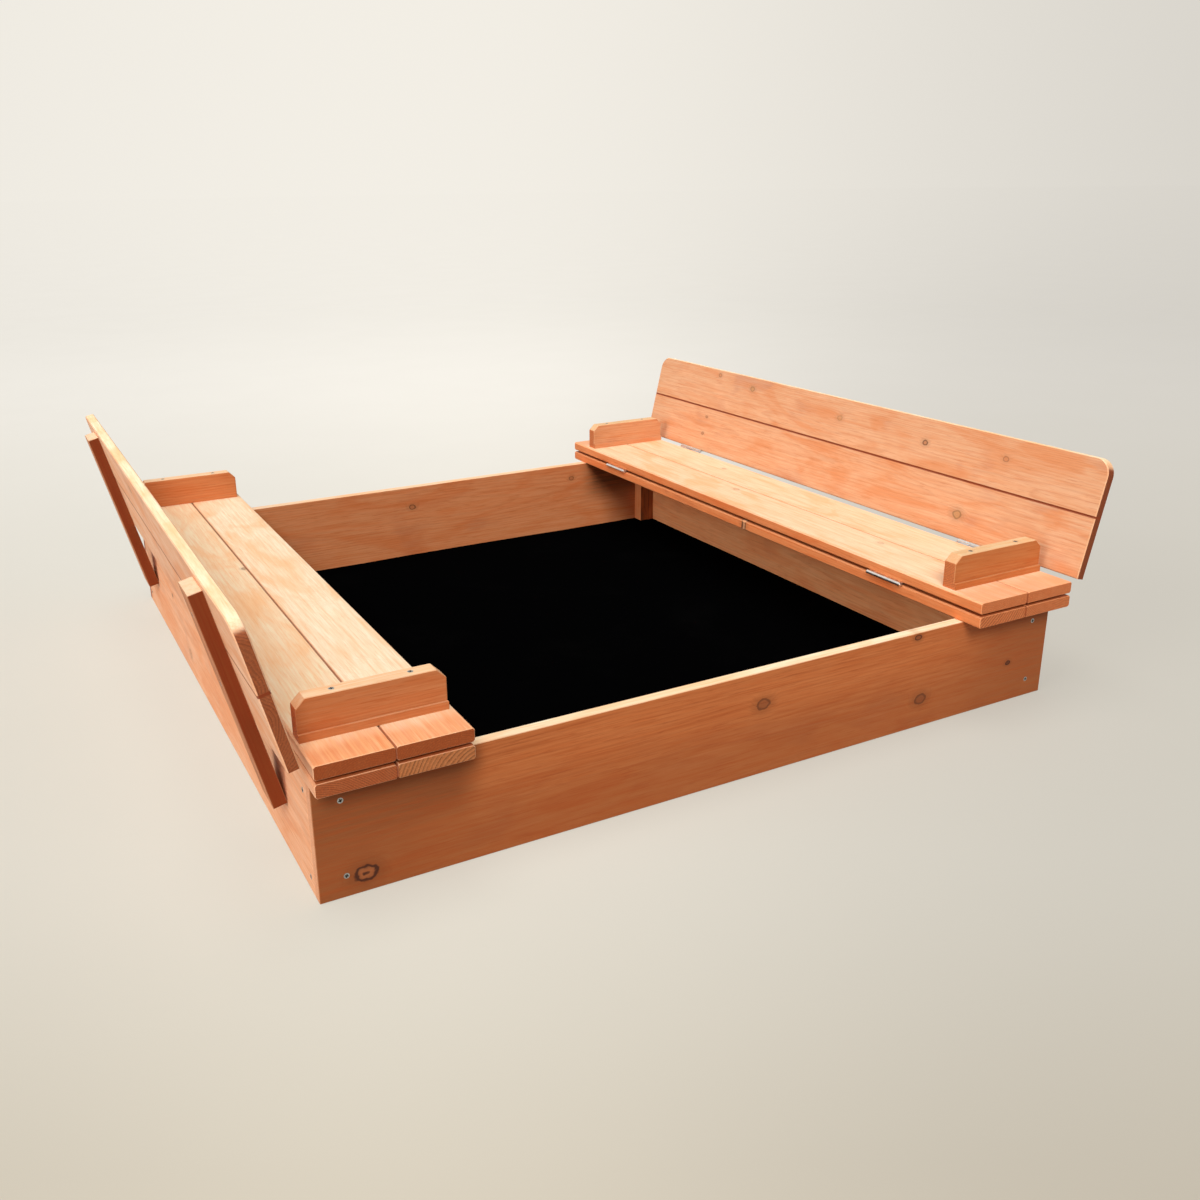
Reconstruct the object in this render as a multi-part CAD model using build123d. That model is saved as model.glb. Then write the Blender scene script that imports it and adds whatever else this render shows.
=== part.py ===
from build123d import *
import math
import os

# Wooden sandbox whose cover folds open into two benches with backrests.
#
# Frame: X runs from the left bench to the right bench, Y from the front wall to the back wall,
# Z up.  The origin is at the bottom centre of the box.  Everything is in millimetres and degrees,
# and is drawn with both benches open.  The right bench is modelled; the left one is its mirror
# image, apart from the way round that one armrest is fitted.

# ---- box ----
box_length = 1180.0  # outer size along X
box_depth = 1180.0  # outer size along Y
wall_height = 155.0
wall_thickness = 17.0
post_size_x = 34.0
post_size_y = 28.0
liner_thickness = 4.0
liner_clearance = 0.3

# ---- bench panels: a fixed base and the seat that lies on it ----
board_thickness = 18.0
board_width = 95.0  # two boards make one panel
panel_end_overhang = 33.5  # beyond the outer faces of the front and back walls
panel_overhang = 2.0  # beyond the outer face of the side wall
edge_ease = 2.4  # bevel along the long edges; two of them make the groove between boards
end_ease = 0.8  # bevel around the sawn ends and on the smaller pieces

# ---- armrests ----
armrest_height = 52.0
armrest_thickness = 22.0
armrest_ledge_depth = 4.0  # the thicker foot along one face
armrest_ledge_height = 10.0
armrest_corner_cut = 12.0
armrest_inner_setback = 7.0  # from the inner edge of the seat
armrest_outer_setback = 2.0  # from the outer edge of the seat
armrest_end_setback = 59.0  # from the end of the seat to the armrest's outer face

# ---- backrest ----
backrest_thickness = 15.0
backrest_lower_width = 97.0
backrest_upper_width = 89.0
backrest_end_setback = 1.5  # from the ends of the seat
backrest_corner_radius = 26.0
backrest_lean = 13.5  # from the vertical
backrest_ease = 1.5  # bevel around the faces of its boards
backrest_gap = 12.0  # from the seat's outer edge to the lower front corner
backrest_rise = 1.5  # of that corner above the seat
batten_width = 55.0
batten_thickness = 18.0
batten_front_setback = 174.5  # from the front end of the panels to the middle of a batten
batten_back_setback = 158.5  # the same at the back end
batten_top_setback = 11.0  # below the top edge of the backrest
batten_wall_clearance = 0.3

# ---- hinges ----
hinge_length = 75.0
hinge_end_setback = 198.5  # from the ends of the panels to the middle of a hinge
knuckle_count = 3
knuckle_radius = 3.25
pin_radius = 1.5
pin_clearance = 0.05
pin_overrun = 0.8
knuckle_end_gap = 0.3
leaf_thickness = 1.4
leaf_side_clearance = 0.35  # of a leaf's notch around the other leaf's knuckle
seat_leaf_width = 30.0  # from the pin to the free edge
edge_leaf_margin = 1.5  # back hinge: leaf's free edge inside the far edge of its board
hinge_board_clearance = 0.15  # from the knuckles to the edges of the boards
seat_gap_below_pin = 2.25  # from the base panel up to the pin
seat_gap_above_pin = 2.05  # from the pin up to the seat
cover_seam = 9.0  # between seat and backrest when the cover is closed
cover_step_clearance = 0.3  # between the battens and the seat when the cover is closed

# ---- screws ----
wall_screw_length = 38.0
wall_screw_top_height = 127.0
wall_screw_low_height = 28.0
side_screw_raise = 8.0  # side-wall screws pass above and below those of the front and back walls
armrest_screw_length = 65.0
base_screw_length = 50.0
batten_screw_length = 28.0
screw_head_radius = 4.0
screw_shank_radius = 2.0
screw_head_height = 2.4
screw_side_count = 6

cut_overrun = 1.0  # how far a cutting shape runs out past the piece that it cuts

# ---- places that follow from the sizes above ----
half_length = box_length / 2
half_depth = box_depth / 2
inner_wall_x = half_length - wall_thickness
inner_wall_y = half_depth - wall_thickness
panel_length = box_depth + 2 * panel_end_overhang
hinge_centre_y = panel_length / 2 - hinge_end_setback
panel_outer_x = half_length + panel_overhang
panel_inner_x = panel_outer_x - 2 * board_width
base_top_z = wall_height + board_thickness
seat_pin_z = base_top_z + seat_gap_below_pin
seat_bottom_z = seat_pin_z + seat_gap_above_pin
seat_top_z = seat_bottom_z + board_thickness
seat_pin_x = panel_inner_x - knuckle_radius - hinge_board_clearance
backrest_width = backrest_lower_width + backrest_upper_width
backrest_length = panel_length - 2 * backrest_end_setback
backrest_foot = (panel_outer_x + backrest_gap, seat_top_z + backrest_rise)

# The back hinge's pin is the one point about which the leaning backrest turns flat onto the
# plane of the seat.  Closed, its back face lies just beyond the underside of the seat, so that
# the battens can lie across both.
fold_angle = 90.0 - backrest_lean
closed_foot = (
    panel_outer_x + cover_seam,
    seat_bottom_z - cover_step_clearance + backrest_thickness,
)
half_chord_scale = 0.5 / math.tan(math.radians(fold_angle) / 2)
back_pin_x = (backrest_foot[0] + closed_foot[0]) / 2 - half_chord_scale * (
    backrest_foot[1] - closed_foot[1]
)
back_pin_z = (backrest_foot[1] + closed_foot[1]) / 2 + half_chord_scale * (
    backrest_foot[0] - closed_foot[0]
)

# Backrest pieces are drawn in the backrest's own frame: x from its front face towards its back,
# y as in the row, z up along its front face from the lower front corner.
lean_sine = math.sin(math.radians(backrest_lean))
lean_cosine = math.cos(math.radians(backrest_lean))
backrest_place = Pos(backrest_foot[0], 0, backrest_foot[1]) * Rot(0, backrest_lean, 0)
pin_to_foot = (backrest_foot[0] - back_pin_x, backrest_foot[1] - back_pin_z)
pin_in_backrest_x = pin_to_foot[1] * lean_sine - pin_to_foot[0] * lean_cosine
pin_in_backrest_z = -pin_to_foot[0] * lean_sine - pin_to_foot[1] * lean_cosine
# The battens run down until their inner face meets the outer face of the wall.
batten_overrun = (
    backrest_foot[0]
    + backrest_thickness * lean_cosine
    - half_length
    - batten_wall_clearance
) / lean_sine


# ---- shapes ----
def block(x0, x1, y0, y1, z0, z1):
    """A plain block between two corners."""
    return Pos((x0 + x1) / 2, (y0 + y1) / 2, (z0 + z1) / 2) * Box(x1 - x0, y1 - y0, z1 - z0)


def plank(x0, x1, y0, y1, z0, z1, grain, ease=edge_ease):
    """A board along the grain axis, bevelled along its length and lightly around its ends."""
    board = block(x0, x1, y0, y1, z0, z1)
    board = chamfer(board.edges().filter_by(grain), ease)
    ends = board.faces().sort_by(grain)
    return chamfer(ends[0].edges() + ends[-1].edges(), end_ease)


def wood_screw(length):
    """A countersunk screw along -Z, with the flat of its head at the origin, drawn in flats."""
    outlines = []
    for radius, z in (
        (screw_head_radius, 0),
        (screw_shank_radius, -screw_head_height),
        (screw_shank_radius, -length),
    ):
        first = Vector(radius, 0, z)
        turns = [360.0 * k / screw_side_count for k in range(screw_side_count)]
        outlines.append([first.rotate(Axis.Z, turn) for turn in turns])
    flats = [Face(Polyline(*outlines[0], close=True)), Face(Polyline(*outlines[-1], close=True))]
    for upper, lower in zip(outlines, outlines[1:]):
        for k in range(screw_side_count):
            flats.append(Face(Polyline(upper[k - 1], upper[k], lower[k], lower[k - 1], close=True)))
    return Solid(Shell(flats))


head_to_front = Rot(90, 0, 0)  # turns a screw so that its head faces -Y
head_to_right = Rot(0, 90, 0)  # turns a screw so that its head faces +X


def cut_for(piece, screws):
    """The piece with a pilot hole for each of the screws."""
    for fastener in screws:
        piece = piece - fastener
    return piece


def group(solids):
    return Compound(children=[s.solid() for s in solids])


# ---- hinges ----
# A leaf is drawn with the pin along Y through the origin.  Its section is a curl around the pin
# with a plate, and its knuckles are what is left of the curl between the other leaf's knuckles.
knuckle_pitch = hinge_length / knuckle_count


def knuckle_zone(index):
    """The range along Y that one of the knuckles has to itself."""
    start = -hinge_length / 2 + index * knuckle_pitch
    return start, start + knuckle_pitch


def leaf(plates, own_knuckles):
    """plates: the rectangles (x0, x1, z0, z1) that its section adds to the curl."""
    half = hinge_length / 2
    body = Rot(90, 0, 0) * Cylinder(knuckle_radius, hinge_length)
    for x0, x1, z0, z1 in plates:
        body = body + block(x0, x1, -half, half, z0, z1)
    body = body - Rot(90, 0, 0) * Cylinder(pin_radius + pin_clearance, hinge_length + 2 * cut_overrun)
    reach = knuckle_radius + leaf_side_clearance
    for index in range(knuckle_count):
        if index in own_knuckles:
            continue
        start, stop = knuckle_zone(index)
        start -= knuckle_end_gap / 2 if index > 0 else cut_overrun
        stop += knuckle_end_gap / 2 if index < knuckle_count - 1 else cut_overrun
        body = body - block(-reach, reach, start, stop, -2 * reach, 2 * reach)
    return body


def hinge_pin():
    return Rot(90, 0, 0) * Cylinder(pin_radius, hinge_length + 2 * pin_overrun)


def at_each_hinge(piece):
    """The piece at both hinges of one line."""
    return [Pos(0, side * hinge_centre_y, 0) * piece for side in (-1, 1)]


parts = {}


# ---- the box ----
corners = {
    "front_left": (-1, -1),
    "front_right": (1, -1),
    "back_left": (-1, 1),
    "back_right": (1, 1),
}


def at_corner(piece, side_x, side_y):
    """A piece drawn at the front right corner, mirrored to one of the four."""
    if side_x < 0:
        piece = mirror(piece, about=Plane.YZ)
    if side_y > 0:
        piece = mirror(piece, about=Plane.XZ)
    return piece


def make_box():
    """Front and back walls cap the ends of the side walls, with a post in each corner."""
    front = plank(
        -half_length, half_length, -half_depth, -inner_wall_y, 0, wall_height, Axis.X, end_ease
    )
    side = plank(
        inner_wall_x, half_length, -inner_wall_y, inner_wall_y, 0, wall_height, Axis.Y, end_ease
    )
    walls = {
        "front_wall": front,
        "back_wall": mirror(front, about=Plane.XZ),
        "right_wall": side,
        "left_wall": mirror(side, about=Plane.YZ),
    }
    post = block(
        inner_wall_x - post_size_x,
        inner_wall_x,
        -inner_wall_y,
        -inner_wall_y + post_size_y,
        0,
        wall_height,
    )
    post_middle = post.center()
    fastener = wood_screw(wall_screw_length)
    through_front = [
        Pos(post_middle.X, -half_depth, z) * head_to_front * fastener
        for z in (wall_screw_low_height, wall_screw_top_height)
    ]
    through_side = [
        Pos(half_length, post_middle.Y, z) * head_to_right * fastener
        for z in (
            wall_screw_low_height - side_screw_raise,
            wall_screw_top_height + side_screw_raise,
        )
    ]

    wall_screws = []
    for corner, (side_x, side_y) in corners.items():
        depth_name, length_name = corner.split("_")
        end_screws = [at_corner(s, side_x, side_y) for s in through_front]
        side_screws = [at_corner(s, side_x, side_y) for s in through_side]
        end_wall = depth_name + "_wall"
        side_wall = length_name + "_wall"
        walls[end_wall] = cut_for(walls[end_wall], end_screws)
        walls[side_wall] = cut_for(walls[side_wall], side_screws)
        corner_post = at_corner(post, side_x, side_y)
        parts["corner_post_" + corner] = cut_for(corner_post, end_screws + side_screws)
        wall_screws += end_screws + side_screws
    parts.update(walls)
    parts["wall_screws"] = group(wall_screws)


def make_liner():
    """The ground sheet inside the box, let in around the four posts."""
    x = inner_wall_x - liner_clearance
    y = inner_wall_y - liner_clearance
    sheet = block(-x, x, -y, y, 0, liner_thickness)
    for side_x in (-1, 1):
        for side_y in (-1, 1):
            notch = Box(
                2 * (post_size_x + liner_clearance),
                2 * (post_size_y + liner_clearance),
                3 * liner_thickness,
            )
            sheet = sheet - Pos(side_x * inner_wall_x, side_y * inner_wall_y, 0) * notch
    parts["ground_liner"] = sheet


# ---- one bench, on the right ----
def panel_boards(bottom_z):
    """The two boards of a base or seat panel, inner then outer."""
    edges = (panel_inner_x, panel_inner_x + board_width, panel_outer_x)
    return [
        plank(x0, x1, -panel_length / 2, panel_length / 2, bottom_z, bottom_z + board_thickness, Axis.Y)
        for x0, x1 in zip(edges, edges[1:])
    ]


board_centres = (panel_inner_x + board_width / 2, panel_outer_x - board_width / 2)


def make_base(bench):
    """The panel fixed on the walls, with the lower leaves of the seat hinges."""
    fixings = [
        Pos(x, side * (half_depth - wall_thickness / 2), base_top_z)
        * wood_screw(base_screw_length)
        for x in board_centres
        for side in (-1, 1)
    ]
    plate = (0, seat_leaf_width, -seat_gap_below_pin, -seat_gap_below_pin + leaf_thickness)
    pin_line = Pos(seat_pin_x, 0, seat_pin_z)
    leaves = at_each_hinge(pin_line * leaf([plate], own_knuckles=(0, 2)))
    inner, outer = panel_boards(wall_height)
    bench["base_board_inner"] = cut_for(inner, fixings[:2])
    bench["base_board_outer"] = cut_for(outer, fixings[2:])
    bench["base_screws"] = group(fixings)
    bench["seat_hinge_base_leaves"] = group(leaves)
    bench["seat_hinge_pins"] = group(at_each_hinge(pin_line * hinge_pin()))
    return fixings


def armrest(ledge_side):
    """Drawn about y = 0 on z = 0: a block with cut top corners and a thicker foot on one face."""
    x0 = panel_inner_x + armrest_inner_setback
    x1 = panel_outer_x - armrest_outer_setback
    full = armrest_thickness + armrest_ledge_depth
    section = Polyline(
        (-full / 2, 0),
        (full / 2, 0),
        (full / 2, armrest_height),
        (full / 2 - armrest_thickness, armrest_height),
        (full / 2 - armrest_thickness, armrest_ledge_height),
        (-full / 2, armrest_ledge_height),
        close=True,
    )
    body = extrude(Plane.YZ * make_face(section), x1 - x0)
    body = Pos(x0, 0, 0) * body
    corner = Rot(0, 45, 0) * Box(
        armrest_corner_cut * math.sqrt(2),
        full + 2 * cut_overrun,
        armrest_corner_cut * math.sqrt(2),
    )
    for x in (x0, x1):
        body = body - Pos(x, 0, armrest_height) * corner
    upper = [e for e in body.edges() if e.center().Z > armrest_ledge_height + end_ease]
    body = chamfer(upper, end_ease)
    return body if ledge_side < 0 else mirror(body, about=Plane.XZ)


def make_seat(bench, ledge_sides):
    """The folding seat, with its armrests and its leaves of both hinge lines."""
    full = armrest_thickness + armrest_ledge_depth
    armrest_y = panel_length / 2 - armrest_end_setback - full / 2
    armrests = {}
    armrest_screws = []
    for end, side in (("front", -1), ("back", 1)):
        ledge_side = ledge_sides[end]
        armrests[end] = Pos(0, side * armrest_y, seat_top_z) * armrest(ledge_side)
        centre_y = side * armrest_y - ledge_side * armrest_ledge_depth / 2
        armrest_screws += [
            Pos(x, centre_y, seat_top_z + armrest_height)
            * wood_screw(armrest_screw_length)
            for x in board_centres
        ]

    pin_line = Pos(seat_pin_x, 0, seat_pin_z)
    plate = (0, seat_leaf_width, seat_gap_above_pin - leaf_thickness, seat_gap_above_pin)
    seat_leaves = at_each_hinge(pin_line * leaf([plate], own_knuckles=(1,)))

    # The back hinge's leaf is cranked: a flange on the seat's edge and a web out to the pin.
    edge_x = panel_outer_x - back_pin_x
    flange_bottom = seat_bottom_z + edge_leaf_margin - back_pin_z
    web = (edge_x, 0, -knuckle_radius, -knuckle_radius + leaf_thickness)
    flange = (edge_x, edge_x + leaf_thickness, flange_bottom, -knuckle_radius + leaf_thickness)
    back_line = Pos(back_pin_x, 0, back_pin_z)
    edge_leaves = at_each_hinge(back_line * leaf([web, flange], own_knuckles=(0, 2)))

    inner, outer = panel_boards(seat_bottom_z)
    bench["seat_board_inner"] = cut_for(inner, armrest_screws)
    bench["seat_board_outer"] = cut_for(outer, armrest_screws)
    for end, piece in armrests.items():
        bench["armrest_" + end] = cut_for(piece, armrest_screws)
    bench["armrest_screws"] = group(armrest_screws)
    bench["seat_hinge_seat_leaves"] = group(seat_leaves)
    bench["back_hinge_seat_leaves"] = group(edge_leaves)
    bench["back_hinge_pins"] = group(at_each_hinge(back_line * hinge_pin()))


def backrest_board(z0, z1, corner_radius=0.0):
    """A board of the backrest in its own frame, with its two top corners rounded."""
    outline = Rectangle(backrest_length, z1 - z0)
    if corner_radius > 0:
        outline = fillet(outline.vertices().group_by(Axis.Y)[-1], corner_radius)
    board = extrude(Plane.YZ * outline, backrest_thickness)
    board = Pos(0, 0, (z0 + z1) / 2) * board
    faces = board.faces().sort_by(Axis.X)
    return chamfer(faces[0].edges() + faces[-1].edges(), backrest_ease)


def make_backrest(bench):
    lower = backrest_board(0, backrest_lower_width)
    upper = backrest_board(backrest_lower_width, backrest_width, backrest_corner_radius)
    batten = plank(
        backrest_thickness,
        backrest_thickness + batten_thickness,
        -batten_width / 2,
        batten_width / 2,
        -batten_overrun,
        backrest_width - batten_top_setback,
        Axis.Z,
        end_ease,
    )
    screw_heights = (
        backrest_lower_width / 2,
        backrest_lower_width + backrest_upper_width / 2,
    )
    batten_places = {
        "front": -panel_length / 2 + batten_front_setback,
        "back": panel_length / 2 - batten_back_setback,
    }
    batten_screws = [
        Pos(backrest_thickness + batten_thickness, y, z)
        * head_to_right
        * wood_screw(batten_screw_length)
        for y in batten_places.values()
        for z in screw_heights
    ]
    plate = (
        0,
        backrest_thickness - edge_leaf_margin - pin_in_backrest_x,
        -pin_in_backrest_z - leaf_thickness,
        -pin_in_backrest_z,
    )
    pin_line = Pos(pin_in_backrest_x, 0, pin_in_backrest_z)
    leaves = at_each_hinge(pin_line * leaf([plate], own_knuckles=(1,)))

    drawn = {
        "backrest_board_lower": cut_for(lower, batten_screws),
        "backrest_board_upper": cut_for(upper, batten_screws),
        "batten_screws": group(batten_screws),
        "back_hinge_back_leaves": group(leaves),
    }
    for end, y in batten_places.items():
        drawn["batten_" + end] = cut_for(Pos(0, y, 0) * batten, batten_screws)
    for name, piece in drawn.items():
        bench[name] = backrest_place * piece


# Each armrest's ledge faces the front (-1) or the back (+1).
armrest_ledges = {
    "right": {"front": -1, "back": -1},
    "left": {"front": -1, "back": 1},
}


def make_bench(side):
    bench = {}
    fixings = make_base(bench)
    make_seat(bench, armrest_ledges[side])
    make_backrest(bench)
    for name, piece in bench.items():
        if side == "left":
            piece = mirror(piece, about=Plane.YZ)
        parts[side + "_" + name] = piece
    if side == "left":
        fixings = [mirror(s, about=Plane.YZ) for s in fixings]
    return fixings


make_box()
make_liner()
base_screws = make_bench("right") + make_bench("left")
for wall in ("front_wall", "back_wall"):
    parts[wall] = cut_for(parts[wall], base_screws)

os.makedirs("parts", exist_ok=True)
for name, piece in parts.items():
    export_step(piece, "parts/" + name + ".step")
print(len(parts), "parts; back hinge pin at x", round(back_pin_x, 4), "z", round(back_pin_z, 4))
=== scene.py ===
import math
from collections import namedtuple

import bmesh
import bpy
import numpy as np
from mathutils import Euler, Matrix, Vector
from mathutils import noise as smooth_noise


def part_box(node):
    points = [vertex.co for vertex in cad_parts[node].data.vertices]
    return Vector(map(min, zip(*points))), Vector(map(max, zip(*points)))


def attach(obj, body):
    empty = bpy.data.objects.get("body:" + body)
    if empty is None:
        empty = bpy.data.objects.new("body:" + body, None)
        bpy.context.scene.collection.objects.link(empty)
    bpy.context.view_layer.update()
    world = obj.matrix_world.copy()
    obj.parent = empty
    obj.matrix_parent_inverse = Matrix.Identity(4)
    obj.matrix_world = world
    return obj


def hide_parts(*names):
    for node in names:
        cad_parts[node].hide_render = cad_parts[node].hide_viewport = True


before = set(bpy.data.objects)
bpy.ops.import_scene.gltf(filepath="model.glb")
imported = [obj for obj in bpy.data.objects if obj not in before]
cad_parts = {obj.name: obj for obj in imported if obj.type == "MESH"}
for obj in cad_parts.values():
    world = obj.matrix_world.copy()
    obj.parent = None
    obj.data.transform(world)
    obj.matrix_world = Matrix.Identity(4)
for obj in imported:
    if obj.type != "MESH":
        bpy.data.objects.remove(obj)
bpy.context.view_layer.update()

# The looks of a wooden sandbox with two bench covers: stained softwood boards, zinc-plated
# hinges and screws, and a black ground sheet.  Metres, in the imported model's frame.

MM = 0.001
LEAN = math.radians(13.5)  # of the backrests, from the vertical
AXIS_X = Vector((1, 0, 0))
AXIS_Y = Vector((0, 1, 0))
AXIS_Z = Vector((0, 0, 1))
WHITE = (1.0, 1.0, 1.0)


# ---- small calls for building node materials ----
class Nodes:
    """A node tree, with short calls for the nodes that lead to a surface or a backdrop."""

    def __init__(self, tree):
        self.tree = tree

    def node(self, kind, **settings):
        made = self.tree.nodes.new("ShaderNode" + kind)
        for key, value in settings.items():
            setattr(made, key, value)
        return made

    def feed(self, socket, value):
        """Gives a socket a number or colour, or links it to another node's output."""
        if isinstance(value, bpy.types.NodeSocket):
            self.tree.links.new(value, socket)
        else:
            socket.default_value = value

    def math(self, operation, a, b=0.0, c=0.0, clamp=False):
        made = self.node("Math", operation=operation, use_clamp=clamp)
        for socket, value in zip(made.inputs, (a, b, c)):
            self.feed(socket, value)
        return made.outputs[0]

    def add(self, *terms):
        total = terms[0]
        for term in terms[1:]:
            total = self.math("ADD", total, term)
        return total

    def minus(self, a, b, clamp=False):
        return self.math("SUBTRACT", a, b, clamp=clamp)

    def times(self, a, b):
        return self.math("MULTIPLY", a, b)

    def absolute(self, value):
        return self.math("ABSOLUTE", value)

    def vector(self, operation, a, b=(0.0, 0.0, 0.0)):
        made = self.node("VectorMath", operation=operation)
        self.feed(made.inputs[0], a)
        self.feed(made.inputs[1], b)
        scalar = operation in ("DOT_PRODUCT", "LENGTH")
        return made.outputs["Value" if scalar else "Vector"]

    def dot(self, place, direction):
        """How far a place lies in a direction, or how much a normal points that way."""
        return self.vector("DOT_PRODUCT", place, direction)

    def step(self, value, start, stop, low=0.0, high=1.0):
        """Runs smoothly from low at start to high at stop, and stays there."""
        made = self.node("MapRange", interpolation_type="SMOOTHSTEP")
        for socket, given in zip(made.inputs, (value, start, stop, low, high)):
            self.feed(socket, given)
        return made.outputs["Result"]

    def mix(self, factor, a, b, blend="MIX"):
        made = self.node("Mix", data_type="RGBA", blend_type=blend)
        self.feed(made.inputs[0], factor)
        for socket, colour in ((made.inputs[6], a), (made.inputs[7], b)):
            linked = isinstance(colour, bpy.types.NodeSocket)
            self.feed(socket, colour if linked else (*colour, 1))
        return made.outputs[2]

    def noise(self, place, scale, detail=2.0, roughness=0.5, distortion=0.0):
        """Cloudy noise around 0.5 in space that is first scaled along each axis."""
        made = self.node("TexNoise")
        self.feed(made.inputs["Vector"], self.vector("MULTIPLY", place, scale))
        made.inputs["Scale"].default_value = 1.0
        made.inputs["Detail"].default_value = detail
        made.inputs["Roughness"].default_value = roughness
        made.inputs["Distortion"].default_value = distortion
        return made.outputs["Fac"]


class Shader(Nodes):
    """One material."""

    def __init__(self, name):
        self.material = bpy.data.materials.new(name)
        self.material.use_nodes = True
        super().__init__(self.material.node_tree)
        self.surface = self.tree.nodes["Principled BSDF"]

    def set(self, **values):
        """Feeds the surface's own inputs; an underscore stands for a space in their names."""
        for name, value in values.items():
            self.feed(self.surface.inputs[name.replace("_", " ")], value)

    def bump(self, height, distance, strength):
        made = self.node("Bump")
        made.inputs["Strength"].default_value = strength
        made.inputs["Distance"].default_value = distance
        self.feed(made.inputs["Height"], height)
        self.set(Normal=made.outputs["Normal"])


def linked_object(name, data):
    """A new object in the scene, made of a mesh, a light or a camera."""
    made = bpy.data.objects.new(name, data)
    bpy.context.scene.collection.objects.link(made)
    return made


def to_mesh(name, shape, materials):
    """Turns a bmesh into a mesh with these materials."""
    made = bpy.data.meshes.new(name)
    shape.to_mesh(made)
    shape.free()
    for material in materials:
        made.materials.append(material)
    return made


# ---- wood ----
# A board is described in its own frame: a runs along the grain, b across the face and c through
# the thickness, all from the middle of the board.
Knot = namedtuple("Knot", "a b radius strength heart")  # the first three in millimetres
KnotField = namedtuple("KnotField", "near inside rim rings lift")


class Grain:
    """How one board was sawn, in millimetres."""

    def __init__(self, pith=(10, -60), spacing=3.4, waves=5.0, knots=(), seam=None, seed=0.0):
        self.pith = pith  # b and c of the tree's middle
        self.spacing = spacing  # between growth rings
        self.waves = waves  # how far the rings wander
        self.knots = [Knot(*knot) for knot in knots]
        self.seam = seam  # b of the long edge that meets another board
        self.seed = seed


class Tint:
    """Linear colours of one board: its faces, its top, paler from sun-bleaching and from painted
    light, and its end grain.
    """

    def __init__(self, face, top, end, ring=0.3, flame=0.5, end_ring=0.4, end_darkening=None, fade=0.0,
                 pale_top_above=None, groove=(1.9, 0.75), outer=None, bench_shade=()):
        self.face = face
        self.top = top
        self.end = end
        self.ring = ring  # strength of the growth rings on the faces
        self.flame = flame  # strength of the broad warm patches
        self.end_ring = end_ring  # strength of the rings in the end grain
        self.end_darkening = end_darkening  # darker and warmer near both ends: from and to (m), strength
        self.fade = fade  # how much the upper half of the board has faded
        self.pale_top_above = pale_top_above  # the top is fully pale (bleached, with painted light) only above this b (m)
        self.groove = groove  # half width (mm) and strength of the stain at the seam
        self.outer = outer  # colour of the two widest faces, if they differ from the rest
        self.bench_shade = bench_shade  # painted shade under the benches: from and to (m), strength


# Hearts of knots.  A hidden knot stays below the face and only bends the growth rings.
HIDDEN = None
DARK_HEART = (0.20, 0.05, 0.018)
BROWN_HEART = (0.42, 0.14, 0.05)
PALE_HEART = (0.95, 0.62, 0.36)
OLIVE_HEART = (0.50, 0.27, 0.11)
UMBER_HEART = (0.21, 0.062, 0.022)
SOFT_HEARTS = (OLIVE_HEART, UMBER_HEART)  # their rims are hardly darker than they are
KNOT_RIM = (0.055, 0.016, 0.008)
RINGED_KNOT = 6  # mm; brown knots larger than this have a second ring inside

GROOVE_STAIN = (0.26, 0.045, 0.010)
WORN_AND_LIT_EDGE = (0.95, 0.60, 0.34)
DEEPENED = (0.97, 0.85, 0.74)  # what the stained fibres multiply the colour by
FADED = 1.42  # how many times as bright a face gets in the sun
BENCH_SHADE = 0.25  # how bright the face colour gets in the painted shade under the benches


def scaled(colour, factor):
    return tuple(channel * factor for channel in colour)


def paler(colour):
    """The same wood where the stain wore thin."""
    return tuple(min(0.99, channel * 1.10 + 0.015) for channel in colour)


def warmer(colour):
    """The same wood where it drank more stain."""
    return (colour[0] * 0.99, colour[1] * 0.72, colour[2] * 0.53)


def end_darkened(colour):
    """The same wood, darker and warmer, near its sawn ends."""
    return (colour[0] * 0.83, colour[1] * 0.35, colour[2] * 0.18)


def smudged(colour):
    """The same wood where weather has darkened it."""
    return (colour[0] * 0.70, colour[1] * 0.60, colour[2] * 0.68)


def knot_field(shader, place, knot):
    """Masks around one knot, and how far it lifts the growth rings."""
    radius = knot.radius * MM
    offset = shader.vector("SUBTRACT", place, (knot.a * MM, knot.b * MM, 0.0))
    flat = shader.vector("MULTIPLY", offset, (0.72, 1.0, 0.0))
    distance = shader.math("DIVIDE", shader.vector("LENGTH", flat), radius)
    wobble = shader.minus(shader.noise(place, (130.0, 130.0, 40.0)), 0.5)
    distance = shader.add(distance, shader.times(wobble, 0.7))
    near = shader.step(distance, 3.0, 1.0)
    inside = shader.step(distance, 1.0, 0.8, 0.0, knot.strength)
    edge = shader.absolute(shader.minus(distance, 1.0))
    rim = shader.step(edge, 0.32, 0.08, 0.0, knot.strength)
    if knot.radius > RINGED_KNOT and knot.heart == BROWN_HEART:
        middle = shader.step(distance, 0.5, 0.2, 0.0, knot.strength)
        rim = shader.math("MAXIMUM", rim, middle)
    lift = shader.step(distance, 3.6, 0.0, 0.0, radius * 1.5)
    turns = shader.math("FRACT", shader.times(distance, 2.6))
    rings = shader.times(turns, inside)
    return KnotField(near, inside, rim, rings, lift)


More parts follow.
